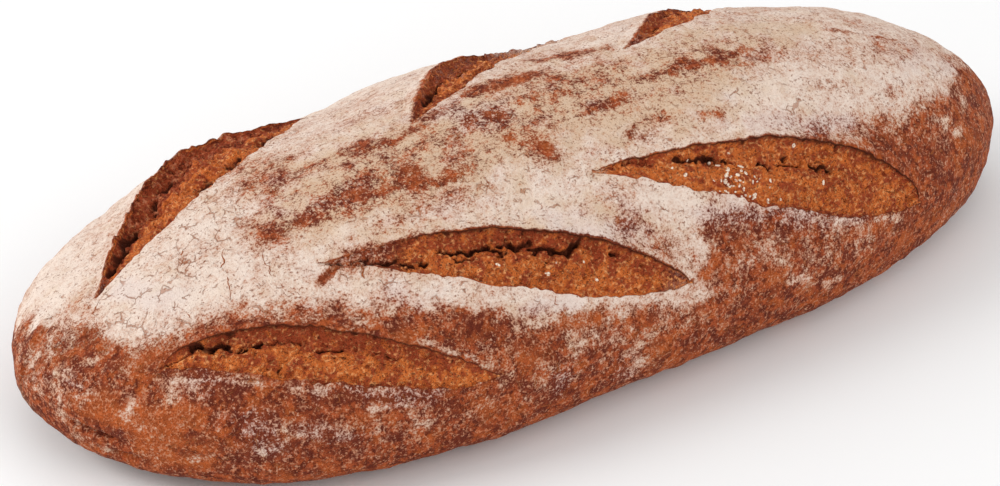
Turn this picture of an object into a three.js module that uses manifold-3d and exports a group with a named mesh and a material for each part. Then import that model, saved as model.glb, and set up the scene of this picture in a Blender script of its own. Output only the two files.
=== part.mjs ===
// Whole wheat miche: a long, low hearth loaf whose crust was slashed six times and opened in the oven.
// Units are millimetres, +Z is up. The loaf lies along X with its broad end towards -X and stands on z = 0.
// The origin is on the floor under the middle of the loaf.
//
// A place on the crust is given by x, along the loaf, and by phi, the angle round the section in degrees:
// 0 is the crest, negative is the near side (-Y), positive the far side (+Y), and 180 is underneath.

import * as THREE from "three";
import { mergeVertices } from "three/addons/utils/BufferGeometryUtils.js";
import Module from "manifold-3d";

const wasm = await Module();
wasm.setup();

// ---- Driving dimensions of the loaf ----
const LENGTH = 400;
const WIDTH = 169; // at the middle, before the taper
const HEIGHT = 90; // crest above the floor at the middle
const RIM_HEIGHT = 27; // height of the widest line above the floor
const SOLE_DEPTH = 29.7; // from the rim line to the lowest line of the uncut section, so 2.7 is cut off flat
const TAPER = -0.21; // the half width grows by this share of itself towards -X
const CREST_RISE = 0.12; // the crest grows by this share of HEIGHT towards +X
const PLAN_POWERS = [2.85, 1.74]; // outline seen from above: (1 - |s|^a)^(1/b)
const DOME_POWERS = [2.47, 1.57]; // outline of the crest seen from the side
const CROWN_POWER = 1.18; // 1 is an elliptic crown, more is steeper shoulders
const SOLE_POWER = 4.2; // squareness of the section below the rim
const HALF_LENGTH = LENGTH / 2;

// ---- Unevenness of the crust ----
const SLASH_PITCH = 95; // from one far slash to the next, along X
const SWOLLEN_AT = -113; // x of the first far swelling
const FAR_DROP = 0.9; // the whole far shoulder is this much lower than the plain form
const SAG = 3.2; // and this much more between two slashes
const SAG_FADE = 1.1; // how fast the sag shrinks towards +X
const FAR_SHOULDER = [38, 30]; // phi of its middle, and how far round it reaches
const DRAWN_IN = 2.2; // hollow of the near side along the floor
const NEAR_FOOT = [-122, 34]; // phi of its middle, and how far round it reaches
const NEAR_FOOT_ALONG = [20, 80]; // x of its middle, and how far along it reaches
const RIPPLE = 0.5; // low waves all over the crust
const RIPPLE_ALONG = [19, 31]; // mm for each radian of the two waves that make it
const RIPPLE_ROUND = [21, 15]; // degrees for each radian of the same two

// ---- Slashes ----
// from and to are [x, phi] of the two ends, and the straight line between them is the chord.
// Two edges bow away from the chord: far, where the crust tore and curled up, and near, where it was cut.
// Each is [reach in mm, share of the length where it is widest, roundness of the ends: less is blunter].
// The lip is the same kind of bow, for how high the torn edge stands. tear is how deep the crevice goes.
const SLASHES = [
  {
    from: [-164, -44.5],
    to: [-59, -78],
    far: [14, 0.34, 0.77],
    near: [4.5, 0.7, 0.5],
    lip: [1.8, 0.4, 0.4],
    tear: 6.5,
  },
  {
    from: [-102, -29.5],
    to: [22, -71],
    far: [13.5, 0.55, 0.77],
    near: [7.2, 0.69, 0.84],
    lip: [2, 0.55, 0.4],
    tear: 8,
  },
  {
    from: [2, -33],
    to: [131, -81],
    far: [22, 0.64, 0.57],
    near: [3.9, 0.77, 0.5],
    lip: [1.8, 0.65, 0.4],
    tear: 6,
  },
  {
    from: [-170, 0],
    to: [-62, 43],
    far: [22, 0.48, 1.3],
    near: [11, 0.64, 1.15],
    lip: [3.4, 0.33, 0.7],
    tear: 8.5,
  },
  {
    from: [-45, 2.5],
    to: [56, 44.5],
    far: [13, 0.46, 1.13],
    near: [5.8, 0.41, 0.83],
    lip: [2.4, 0.2, 2],
    tear: 7.5,
  },
  {
    from: [44.5, 4.7],
    to: [129, 36],
    far: [12.8, 0.65, 1.24],
    near: [7, 0.43, 0.96],
    lip: [1.6, 0.18, 2],
    tear: 6.5,
  },
];
const SLASH_STEPS = 20; // stations along a slash
const SLASH_TIP = 0.9; // width left at the very ends
const ABOVE_CRUST = 12; // how far a cutting tool reaches above the crust

// ---- Mesh density ----
const AROUND = 46;
const ALONG = 48;
const CREST_DENSITY = 0.34; // radians by which the section angles crowd towards the crest

const radians = THREE.MathUtils.degToRad;

// A repeatable value from -1 to 1 for a whole number and a seed.
function draw(index, seed) {
  const wave = Math.sin(index * 127.1 + seed * 311.7) * 43758.5453;
  return 2 * (wave - Math.floor(wave)) - 1;
}

// Smooth noise along one line, from -1 to 1, built on draw().
function noise(place, seed) {
  const cell = Math.floor(place);
  const share = place - cell;
  const ease = share * share * (3 - 2 * share);
  return draw(cell, seed) * (1 - ease) + draw(cell + 1, seed) * ease;
}

// A smooth hump: 1 at the middle, fading to nothing a little over a width away.
function hump(value, [middle, width]) {
  return Math.exp(-(((value - middle) / width) ** 2));
}

// How far the crust stands off the plain form at x and phi, in mm. It sags between the far slashes,
// because the dough rose most where it was cut, and the near side is drawn in along the floor.
function swelling(x, phi) {
  const s = x / HALF_LENGTH;
  const between = 0.5 - 0.5 * Math.cos((2 * Math.PI * (x - SWOLLEN_AT)) / SLASH_PITCH);
  const sag = (FAR_DROP + SAG * (1 - SAG_FADE * s) * between) * hump(phi, FAR_SHOULDER);
  const drawnIn = DRAWN_IN * hump(phi, NEAR_FOOT) * hump(x, NEAR_FOOT_ALONG);
  const slow = Math.cos(x / RIPPLE_ALONG[1] + phi / RIPPLE_ROUND[1]);
  const ripple = RIPPLE * Math.sin(x / RIPPLE_ALONG[0] - phi / RIPPLE_ROUND[0] + 2.1) * slow;
  const awayFromSole = THREE.MathUtils.smoothstep(170 - Math.abs(phi), 0, 40);
  return (ripple - sag - drawnIn) * Math.max(1 - Math.abs(s) ** 8, 0) * awayFromSole;
}

// The point of the crust at x and phi, before swelling.
function skin(x, phi) {
  const s = THREE.MathUtils.clamp(x / HALF_LENGTH, -1, 1);
  const plan = (1 - Math.abs(s) ** PLAN_POWERS[0]) ** (1 / PLAN_POWERS[1]);
  const dome = (1 - Math.abs(s) ** DOME_POWERS[0]) ** (1 / DOME_POWERS[1]);
  const halfWidth = (WIDTH / 2) * plan * (1 + TAPER * s);
  const turn = Math.abs(phi);
  const side = Math.sign(phi);
  if (turn <= 90) {
    const crown = Math.max(Math.cos(radians(turn)), 0) ** CROWN_POWER;
    const rise = (HEIGHT * (1 + CREST_RISE * s) - RIM_HEIGHT) * dome;
    return new THREE.Vector3(x, side * halfWidth * Math.sin(radians(turn)), RIM_HEIGHT + rise * crown);
  }
  const across = Math.cos(radians(turn - 90));
  const down = Math.sin(radians(turn - 90));
  const reach = (Math.abs(across) ** SOLE_POWER + down ** SOLE_POWER) ** (-1 / SOLE_POWER);
  const depth = SOLE_DEPTH * Math.sqrt(plan);
  return new THREE.Vector3(x, side * halfWidth * reach * across, RIM_HEIGHT - depth * reach * down);
}

// The outward direction of the crust at x and phi, from two short steps over it.
function outward(x, phi) {
  const step = 0.5; // mm along, and degrees round
  const along = skin(x + step, phi).sub(skin(x - step, phi));
  const across = skin(x, phi + step).sub(skin(x, phi - step));
  return along.cross(across).normalize();
}

// The point at x and phi, lifted off the swollen crust by height.
function crust(x, phi, height = 0) {
  return skin(x, phi).addScaledVector(outward(x, phi), height + swelling(x, phi));
}

// How far a bow of a slash stands out at share s of the length, as a share of its reach.
function bow([, widestAt, roundness], s) {
  const skewed = s ** (Math.log(0.5) / Math.log(widestAt));
  return Math.max(Math.sin(Math.PI * skewed), 0) ** roundness;
}

// The two edges of a slash at share s: how far each is from the chord, and how open the slash is, 0 to 1.
function edges(slash, s) {
  const far = slash.far[0] * bow(slash.far, s) + SLASH_TIP / 2;
  const near = -slash.near[0] * bow(slash.near, s) - SLASH_TIP / 2;
  return { far, near, open: (far - near - SLASH_TIP) / (slash.far[0] + slash.near[0]) };
}

// The point at share s along a slash, offset mm from its chord towards the far side, lifted by height.
function besideSlash(slash, s, offset, height) {
  const [x0, phi0] = slash.from;
  const [x1, phi1] = slash.to;
  const middle = (x0 + x1) / 2;
  const middlePhi = (phi0 + phi1) / 2;
  const perDegree = skin(middle, middlePhi + 1).distanceTo(skin(middle, middlePhi));
  const heading = Math.atan2((phi1 - phi0) * perDegree, x1 - x0);
  const x = x0 + s * (x1 - x0) - offset * Math.sin(heading);
  const phi = phi0 + s * (phi1 - phi0) + (offset * Math.cos(heading)) / perDegree;
  return crust(x, phi, height);
}

// A closed solid from a geometry, whose vertices are moved by place(x, y, z) first.
function solidFrom(geometry, place) {
  const bare = geometry.clone();
  bare.deleteAttribute("normal");
  bare.deleteAttribute("uv");
  const merged = mergeVertices(bare, 1e-4);
  const position = merged.getAttribute("position");
  for (let i = 0; i < position.count; i++) {
    const moved = place(position.getX(i), position.getY(i), position.getZ(i));
    position.setXYZ(i, moved.x, moved.y, moved.z);
  }
  return new wasm.Manifold(
    new wasm.Mesh({
      numProp: 3,
      vertProperties: new Float32Array(position.array),
      triVerts: new Uint32Array(merged.index.array),
    }),
  );
}

// A prism of the profile, a list of [offset, height], that follows a slash. place() bends it to the loaf.
function alongSlash(profile, place) {
  const shape = new THREE.Shape(profile.map(([across, height]) => new THREE.Vector2(across, height)));
  const prism = new THREE.ExtrudeGeometry(shape, { depth: 1, steps: SLASH_STEPS, bevelEnabled: false });
  return solidFrom(prism, (across, height, s) => place(across, height, s));
}

// The uncut loaf. The sphere's poles become the two ends of the loaf.
function dough() {
  const ball = new THREE.SphereGeometry(1, AROUND, ALONG).rotateZ(-Math.PI / 2);
  const swollen = solidFrom(ball, (dx, dy, dz) => {
    const turn = Math.atan2(dy, dz);
    const phi = THREE.MathUtils.radToDeg(turn - CREST_DENSITY * Math.sin(turn));
    return crust(HALF_LENGTH * THREE.MathUtils.clamp(dx, -0.9999, 0.9999), phi);
  });
  const floor = new THREE.BoxGeometry(2 * LENGTH, 2 * WIDTH, HEIGHT).translate(0, 0, -HEIGHT / 2);
  return swollen.subtract(solidFrom(floor, (x, y, z) => new THREE.Vector3(x, y, z)));
}

// The crust that curled up along the far edge of a slash. Offsets are from that edge, in mm.
function tornLip(slash) {
  const profile = [
    [-2.6, -3],
    [10, -3],
    [10, -0.05],
    [5.5, 0.3],
    [2.6, 0.72],
    [0.6, 1],
    [-1.6, 1],
  ];
  return alongSlash(profile, (offset, height, s) => {
    const { far, open } = edges(slash, s);
    const raised = height > 0 ? height * slash.lip[0] * bow(slash.lip, s) - 0.25 * (1 - open) : height;
    return besideSlash(slash, s, far + offset * (0.35 + 0.65 * open), raised);
  });
}

// What is missing from a slash: the space over the bulging crumb, the crevice and the torn wall.
// Offsets run from 0 at the near edge to 1 at the lip. Heights under 0 are shares of the slash's tear.
function openedSpace(slash, seed) {
  const profile = [
    [0, ABOVE_CRUST],
    [0, -0.16],
    [0.14, -0.22],
    [0.3, -0.13],
    [0.46, -0.18],
    [0.58, -0.5],
    [0.65, -1],
    [0.71, -0.72],
    [0.86, -0.38],
    [1.03, -0.16],
    [1, 0.1],
    [1, ABOVE_CRUST],
  ];
  return alongSlash(profile, (share, height, s) => {
    const { far, near, open } = edges(slash, s);
    const inside = share > 0.05 && share < 0.95;
    const crag = inside ? 0.7 * open * noise(s * 17 + share * 9, seed + share * 3) : 0;
    const torn = height < -0.4 ? 1 + 0.35 * noise(s * 13, seed + 7) : 1;
    const level = height < 0 ? height * slash.tear * torn * (0.12 + 0.88 * open ** 0.7) + crag : height;
    return besideSlash(slash, s, near + share * (far - near), level);
  });
}

function loaf() {
  let whole = dough();
  for (const slash of SLASHES) whole = whole.add(tornLip(slash));
  SLASHES.forEach((slash, seed) => {
    whole = whole.subtract(openedSpace(slash, seed + 1));
  });
  return whole;
}

// A three.js geometry from a solid.
function geometryFrom(solid) {
  const mesh = solid.getMesh();
  const geometry = new THREE.BufferGeometry();
  const position = new Float32Array(mesh.numVert * 3);
  for (let i = 0; i < mesh.numVert; i++) {
    for (let axis = 0; axis < 3; axis++) {
      position[i * 3 + axis] = mesh.vertProperties[i * mesh.numProp + axis];
    }
  }
  geometry.setAttribute("position", new THREE.BufferAttribute(position, 3));
  geometry.setIndex(new THREE.BufferAttribute(mesh.triVerts, 1));
  geometry.computeVertexNormals();
  return geometry;
}

const bakedCrust = new THREE.MeshStandardMaterial({ color: 0x8a4a2c, roughness: 0.8, metalness: 0 });

const miche = new THREE.Group();
const bread = new THREE.Mesh(geometryFrom(loaf()), bakedCrust);
bread.name = "loaf";
miche.add(bread);

export default miche;
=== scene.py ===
"""Whole wheat miche: the finish of the loaf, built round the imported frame.

The loaf lies along X, its broad end towards -X, and stands on z = 0. Shapes are worked out in millimetres
and written to the meshes in metres. A place on the crust is given by x, along the loaf, and by phi, the
angle round the section in degrees: 0 is the crest, negative the near side (-Y), positive the far side (+Y).
"""

import itertools
import math
from types import SimpleNamespace

import bmesh
import bpy
import numpy as np
from mathutils import Matrix, Vector
from mathutils.bvhtree import BVHTree


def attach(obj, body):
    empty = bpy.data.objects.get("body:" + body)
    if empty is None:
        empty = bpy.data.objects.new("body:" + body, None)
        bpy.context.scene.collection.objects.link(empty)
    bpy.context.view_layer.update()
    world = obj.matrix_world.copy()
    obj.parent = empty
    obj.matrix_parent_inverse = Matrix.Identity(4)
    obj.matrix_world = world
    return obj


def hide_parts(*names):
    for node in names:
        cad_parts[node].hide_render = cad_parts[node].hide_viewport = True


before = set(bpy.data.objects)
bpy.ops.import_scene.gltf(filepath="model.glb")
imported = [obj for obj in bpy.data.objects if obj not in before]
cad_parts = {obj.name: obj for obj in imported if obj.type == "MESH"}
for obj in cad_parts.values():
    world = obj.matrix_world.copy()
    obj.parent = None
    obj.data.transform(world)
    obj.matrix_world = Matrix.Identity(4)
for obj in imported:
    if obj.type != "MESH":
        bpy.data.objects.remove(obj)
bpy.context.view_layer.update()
METRES = 0.001

# ---- The loaf: the same driving dimensions as its solid ----
LENGTH = 400
WIDTH = 169
HEIGHT = 90
RIM_HEIGHT = 27
SOLE_DEPTH = 29.7
TAPER = -0.21
CREST_RISE = 0.12
PLAN_POWERS = (2.85, 1.74)
DOME_POWERS = (2.47, 1.57)
CROWN_POWER = 1.18
SOLE_POWER = 4.2
HALF_LENGTH = LENGTH / 2

# ---- Unevenness of the crust ----
# It swells between the slashes and sags beside them, along the far shoulder, and is drawn in over the near
# foot. A place is given with the width of the stretch round it: (x, width) or (phi, width).
SLASH_PITCH = 95
SWOLLEN_AT = -113
FAR_DROP = 0.9
SAG = 3.2
SAG_FADE = 1.1
FAR_SHOULDER = (38, 30)
DRAWN_IN = 2.2
NEAR_FOOT = (-122, 34)
NEAR_FOOT_ALONG = (20, 80)
RIPPLE = 0.5
RIPPLE_ALONG = (19, 31)
RIPPLE_ROUND = (21, 15)
RIPPLE_START = 2.1
EVEN_BY_SOLE = (130, 170)  # degrees round the section over which the swelling fades
LUMPS = ((0.45, 14, 0), (0.4, 6.5, 1), (0.27, 3.4, 2), (0.15, 2, 3))  # bumps: (height, size in mm, seed)

# ---- Hollows of the crust, as (x0, phi0, x1, phi1, half width in degrees, depth in mm) ----
HOLLOWS = [
    (-199, -14, -197, 4, 4, 1.8), (-197, 4, -183, 11, 2.6, 1.4), (-189.5, -101, -186.5, -103.5, 3.2, 4),
    (-183, -121, -180, -117, 2.4, 2.8), (-104, -42, -98, -50, 4, 0.5), (-12, -86, -4, -108, 4, 0.6),
    (-105.4, -33.3, -98, -30.4, 1, 1.2),
]

# ---- Slashes ----
# Ends as (x, phi). The two edges and the lip are bows over the slash's length: (reach in mm, the share of
# the length where it is widest, roundness of the ends). deep is how far the crumb lies under the crust and
# rim how far past the edge the crust lost its flour, in mm. Up to the share untorn of its length the crust
# only stretched. rough is how craggy the tear is, wall how red brown and mottled the torn face under the lip
# baked, char_and_shade how dark the section's knots paint the slash: the lip's burnt edge with painted shadow
# under the lip, and painted shade just past the near edge. dusted is where flour lies in the slash, as
# (middle, width, amount) along it. A crevice runs between two places, each a share of the length and of the
# opening from its near edge, and has a half width and a depth in mm.
SLASHES = [
    dict(
        name="near_slash_broad_end", seed=11,
        start=(-164, -44.5), end=(-59, -78), far=(14, 0.34, 0.77), near=(4.5, 0.7, 0.5),
        lip=(1.8, 0.4, 0.4), deep=6.5, rim=1.6, rough=1.3, wall=0.55, char_and_shade=0.9, untorn=0,
        dusted=[(1, 0.06, 0.3)],
        crevices=[
            (0, 0.9, 0.09, 0.76, 0.5, 2), (0.09, 0.76, 0.17, 0.72, 1.2, 4.5),
            (0.2, 0.62, 0.27, 0.72, 0.8, 3.5), (0.27, 0.74, 0.4, 0.72, 0.4, 1.6),
            (0.43, 0.66, 0.51, 0.62, 0.6, 2.2), (0.32, 0.16, 0.33, 0.2, 0.7, 2),
            (0.6, 0.72, 0.68, 0.62, 0.4, 1.2), (0.78, 0.5, 0.8, 0.55, 0.6, 1.4),
        ],
    ),
    dict(
        name="near_slash_middle", seed=31,
        start=(-102, -29.5), end=(22, -71), far=(13.5, 0.55, 0.77), near=(7.2, 0.69, 0.84),
        lip=(2, 0.55, 0.4), deep=8, rim=1.6, rough=1.2, wall=0.4, char_and_shade=1, untorn=0.22,
        dusted=[(0.04, 0.09, 0.45), (0.96, 0.08, 0.5)],
        crevices=[
            (0, 0.5, 0.09, 0.38, 0.6, 2), (0.09, 0.36, 0.2, 0.27, 0.8, 2.5),
            (0.2, 0.27, 0.26, 0.32, 1, 3), (0.29, 0.6, 0.37, 0.62, 0.9, 3.5),
            (0.32, 0.38, 0.37, 0.45, 0.7, 2.2), (0.37, 0.64, 0.42, 0.7, 1.2, 4.5),
            (0.42, 0.66, 0.46, 0.6, 0.9, 3.5), (0.45, 0.76, 0.52, 0.78, 1.1, 4.5),
            (0.52, 0.72, 0.64, 0.72, 0.9, 4), (0.635, 0.74, 0.65, 0.9, 1.5, 4.5),
            (0.745, 0.84, 0.76, 0.84, 1, 3), (0.85, 0.76, 0.86, 0.74, 0.6, 1.6),
            (0.6, 0.3, 0.61, 0.32, 0.5, 1.2), (0.7, 0.45, 0.71, 0.4, 0.5, 1.2),
        ],
    ),
    dict(
        name="near_slash_slim_end", seed=51,
        start=(2, -33), end=(131, -81), far=(22, 0.64, 0.57), near=(3.9, 0.77, 0.5),
        lip=(1.8, 0.65, 0.4), deep=6, rim=1.6, rough=1.1, wall=0.15, char_and_shade=1, untorn=0,
        dusted=[(0.02, 0.05, 0.4)],
        crevices=[
            (0.02, 0.7, 0.14, 0.8, 0.4, 1.2), (0.205, 0.84, 0.22, 0.8, 1.2, 3),
            (0.22, 0.78, 0.26, 0.72, 0.7, 2.6), (0.26, 0.72, 0.31, 0.73, 1.2, 4),
            (0.31, 0.7, 0.35, 0.65, 0.7, 3), (0.35, 0.64, 0.42, 0.52, 0.5, 1.6),
            (0.44, 0.6, 0.47, 0.6, 1, 3), (0.47, 0.6, 0.56, 0.62, 0.6, 2.4),
            (0.6, 0.66, 0.66, 0.68, 1, 3.2), (0.51, 0.72, 0.52, 0.76, 0.9, 2.4),
            (0.96, 0.5, 0.975, 0.55, 1.1, 2.4), (0.7, 0.3, 0.72, 0.24, 0.6, 1.6),
            (0.16, 0.3, 0.18, 0.26, 0.6, 1.4), (0.8, 0.5, 0.81, 0.52, 0.5, 1.2),
        ],
    ),
    dict(
        name="far_slash_broad_end", seed=211,
        start=(-170, 0), end=(-62, 43), far=(22, 0.48, 1.3), near=(11, 0.64, 1.15),
        lip=(3.4, 0.33, 0.7), deep=8.5, rim=4, rough=1.9, wall=1.1, char_and_shade=0.3, untorn=0,
        dusted=[(0, 0.08, 0.3), (0.5, 0.6, 0.2)],
        crevices=[
            (0.08, 0.7, 0.2, 0.92, 1.4, 4), (0.2, 0.92, 0.28, 0.88, 2, 5),
            (0.29, 0.84, 0.35, 0.76, 1.4, 4), (0.38, 0.8, 0.43, 0.86, 1.2, 3),
            (0.44, 0.16, 0.5, 0.14, 2, 4), (0.56, 0.18, 0.6, 0.16, 1.4, 3), (0.7, 0.2, 0.76, 0.2, 1.6, 3),
            (0.3, 0.62, 0.4, 0.56, 0.9, 1.8), (0.46, 0.88, 0.56, 0.86, 1.8, 2.6),
            (0.6, 0.55, 0.7, 0.5, 0.8, 1.6), (0.7, 0.8, 0.8, 0.75, 1.2, 2),
        ],
    ),
    dict(
        name="far_slash_middle", seed=231,
        start=(-45, 2.5), end=(56, 44.5), far=(13, 0.46, 1.13), near=(5.8, 0.41, 0.83),
        lip=(2.4, 0.2, 2), deep=7.5, rim=4, rough=1.8, wall=0.6, char_and_shade=0.3, untorn=0,
        dusted=[(0.3, 0.5, 0.4), (0.75, 0.2, 0.48)],
        crevices=[
            (0.08, 0.7, 0.16, 0.86, 1, 2.5), (0.16, 0.86, 0.23, 0.8, 1.5, 4),
            (0.3, 0.6, 0.36, 0.66, 1.2, 3), (0.42, 0.6, 0.52, 0.55, 0.8, 2.5),
        ],
    ),
    dict(
        name="far_slash_slim_end", seed=251,
        start=(44.5, 4.7), end=(127, 40), far=(12.8, 0.6, 1.24), near=(7, 0.4, 0.96),
        lip=(1.6, 0.18, 2), deep=6.5, rim=3, rough=1.5, wall=0.5, char_and_shade=0.3, untorn=0.1,
        dusted=[(0.06, 0.14, 0.25), (0.6, 0.35, 0.45)],
        crevices=[
            (0.13, 0.66, 0.2, 0.7, 1.2, 2.4), (0.3, 0.9, 0.42, 0.92, 1, 2),
            (0.4, 0.6, 0.5, 0.6, 0.8, 1.6),
        ],
    ),
]
SLASH_TIP = 0.9  # how wide a slash still is at its ends, in mm

# ---- Mesh density ----
CRUST_AROUND = 300
CRUST_ALONG = 332
CREST_DENSITY = 0.34  # how much closer than even the crust's rows lie at the crest
BALL_END = 0.9999  # keeps the points at the loaf's two ends apart
SLASH_STEPS = 330
CRACK_STEPS = 30
CRACK_SIDES = 6

# ---- The section across an opened slash, from the near margin to the far one ----
# Each row is a knot: mesh steps to the next one, share of the opening, mm past that edge, depth as a share
# of how deep the crumb lies, height as a share of the lip, how much it is torn crumb, and how dark it is
# painted: the lip's burnt edge with painted shadow under the lip, and a little painted shade where the
# crumb dips under the near edge.
SECTION = [
    (9, 0, -6, 0, 0, 0, 0),
    (4, 0, -1.2, 0, 0, 0, 0),
    (4, 0, 0, 0.02, 0, 0, 0.1),
    (4, 0, 0.3, -0.14, 0, 0.8, 0.3),
    (12, 0.08, 0, -0.2, 0, 1, 0.05),
    (36, 0.3, 0, -0.1, 0, 1, 0),
    (40, 0.62, 0, -0.2, 0, 1, 0),
    (9, 0.86, 0, -0.2, 0, 1, 0),
    (6, 0.95, 0, -0.12, 0.1, 1, 0.15),
    (4, 1, 0.1, -0.02, 0.5, 1, 0.6),
    (2, 1, 0.35, 0, 0.85, 0.7, 0.95),
    (3, 1, 0.1, 0, 1, 0.2, 0.9),
    (3, 1, 0.7, 0, 1.05, 0, 0.2),
    (6, 1, 1.8, 0, 0.9, 0, 0),
    (8, 1, 5.5, 0, 0.35, 0, 0),
    (1, 1, 10, 0, 0, 0, 0),
]
UNDERSIDE = (0.95, 0.8, 0.5, 0.2, 0.05)  # shares of the opening, deep in the loaf
TEAR_START = (-0.12, 0.06)  # past the share untorn, where the tear starts and where it is complete
TORN = 0.9  # how much torn crumb makes the inside of a slash
SHALLOW_END = 0.12  # the crumb's depth at the ends, as a share of that in the middle
NARROW_END = 0.4  # the same for the width of the margins
LIP_DIP = 0.25  # mm that the lip lies lower at the ends
WALL_FROM = (0.5, 0.8)  # shares of the opening over which the crumb turns into the wall under the lip
RIM_START = 0.3  # mm past the far edge, where the first flour lies
CREVICE_SHADE = (0.3, 2.3)  # mm deep, from where painted shade darkens a crevice and where it is darkest
# How much painted shade darkens the pores of the crumb.
PORE_SHADE = 0.3
UNDERSIDE_DEPTHS = (5.95, 17)  # mm, where the slash is shut and where it is widest
SLASH_RUN_OUT = 4  # mm of flat crust past each end
TUCK = 0.6  # how far a slash's rim dips under the crust round it
TUCK_WIDTH = 1.5

# ---- The trough of the crust piece under a slash piece, in mm ----
TROUGH_PAST = (3.5, 6.5)  # how far past the slash's near and far edge it starts
TROUGH_SHORT = 2  # how far short of the slash piece's ends it starts
TROUGH_STEPS = ((1.2, 0, 3), (12.5, 3, 9))  # depth, and how far inside that step starts and ends

# ---- Roughness, as layers of noise: (height, size in mm, seed) ----
EDGE_RAGGED = ((0.5, 6, 0), (0.35, 2, 1))
NEAR_EDGE_RAGGED = -1.8  # that much of it on the near edge
LIP_CURL = ((0.14, 11, 5), (0.12, 3, 6), (0.1, 1.3, 3))
CRAGS = ((0.8, 6, 7), (0.6, 2.8, 8), (0.5, 1.3, 9))
PORES = ((1, 1.7, 10),)
PORE_EDGE = (0.5, 0.75)
PORE_DEPTH = 0.7
CREVICE_ALONG = ((1.4, 4.5, 71), (1, 1.6, 72))
CREVICE_ACROSS = ((1.2, 3.5, 73), (0.9, 1.3, 74))
CREVICE_BREAKS = ((1, 2.4, 75), (0.5, 1.1, 76))
CREVICE_BREAK_EDGE = (-0.8, 0.3)
CREVICE_DEPTHS = (0.36, 0.9)  # shares of a crevice's depth, at its breaks and elsewhere
CRACK_JAGS = ((0.9, 2.2, 300), (0.3, 0.8, 330))
CRACK_THICKNESS = ((0.5, 1.7, 350),)
CRACK_DIPS = ((0.12, 2.6, 380),)
CRACK_DEPTH = 0.2
CRACK_SUNK = 0.08
FLAKE_LUMPS = ((0.12, 0.6, 91), (0.12, 0.6, 92), (0.12, 0.6, 93))  # along each axis

# ---- Flakes: which slash, how many, (middle, spread) along it and (middle, spread) of the opening ----
FLAKES = [
    (2, 42, (0.39, 0.045), (0.28, 0.16)), (2, 9, (0.36, 0.1), (0.5, 0.25)),
    (1, 1, (0.441, 0.001), (0.38, 0.01)), (1, 5, (0.6, 0.15), (0.4, 0.2)),
]
FLAKE_SIZE = (0.38, 0.35)  # mean and spread of the logarithm of a flake's length in mm
FLAKE_LARGEST = 2.6
FLAKE_WIDTHS = (0.45, 0.9)  # as shares of its length, as is its thickness
FLAKE_THICKNESS = 0.35
FLAKE_OPENING = (0.05, 0.92)  # no flake lies nearer the edges of the opening
FLAKE_DROP = 12  # mm over the crust, where a flake starts to fall
FLAKE_SEED = 5


# ---- Repeatable noise ----
HASH_STEPS = (127.1, 311.7, 74.7)
HASH_SEED_STEP = 19.19
HASH_GAIN = 43758.5453


def lattice(cells, seed):
    """A repeatable value from 0 to 1 for each whole-number cell."""
    wave = np.sin(cells @ np.array(HASH_STEPS) + seed * HASH_SEED_STEP) * HASH_GAIN
    return wave - np.floor(wave)


def noise(points, size, seed):
    """Smooth noise from -1 to 1 with lumps of the given size in mm."""
    place = points / size
    cell = np.floor(place)
    part = place - cell
    ease = part * part * (3 - 2 * part)
    total = np.zeros(len(points))
    for corner in itertools.product((0, 1), repeat=3):
        weight = np.prod(np.where(corner, ease, 1 - ease), axis=1)
        total += weight * lattice(cell + corner, seed)
    return 2 * total - 1


def layered(points, layers, seed=0):
    """Noise added up over layers of (height, size in mm, seed)."""
    return sum(height * noise(points, size, seed + own) for height, size, own in layers)


def plane(first, second=0.0):
    """Points for noise that varies over a plane, or along one line."""
    return np.stack(np.broadcast_arrays(first, second, 0.0), axis=-1)


def smoothstep(value, low, high):
    """0 below low, 1 above high, smooth between."""
    share = np.clip((value - low) / (high - low), 0, 1)
    return share * share * (3 - 2 * share)


def hump(value, middle, width):
    """1 at the middle, fading to 0 over the width to both sides."""
    return np.exp(-(((value - middle) / width) ** 2))


# ---- The form of the loaf ----
def skin(x, phi):
    """Points of the plain loaf, in mm."""
    s = np.clip(x / HALF_LENGTH, -1, 1)
    plan = (1 - np.abs(s) ** PLAN_POWERS[0]) ** (1 / PLAN_POWERS[1])
    dome = (1 - np.abs(s) ** DOME_POWERS[0]) ** (1 / DOME_POWERS[1])
    half_width = WIDTH / 2 * plan * (1 + TAPER * s)
    turn = np.abs(phi)
    crown = np.cos(np.radians(np.minimum(turn, 90))).clip(0) ** CROWN_POWER
    rise = (HEIGHT * (1 + CREST_RISE * s) - RIM_HEIGHT) * dome * crown
    past_rim = np.radians(turn - 90)
    across, down = np.abs(np.cos(past_rim)), np.abs(np.sin(past_rim))
    reach = (across**SOLE_POWER + down**SOLE_POWER) ** (-1 / SOLE_POWER)
    above = turn <= 90
    out = np.where(above, np.sin(np.radians(turn)), reach * across)
    z = np.where(above, rise, -SOLE_DEPTH * np.sqrt(plan) * reach * down)
    return np.stack([x, np.sign(phi) * half_width * out, RIM_HEIGHT + z], axis=-1)


def outward(x, phi):
    """Directions away from the loaf, from two short steps over its skin."""
    x = np.clip(x, 1 - HALF_LENGTH, HALF_LENGTH - 1)
    along = skin(x + 0.5, phi) - skin(x - 0.5, phi)
    across = skin(x, phi + 0.5) - skin(x, phi - 0.5)
    direction = np.cross(along, across)
    return direction / np.linalg.norm(direction, axis=-1, keepdims=True)


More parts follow.
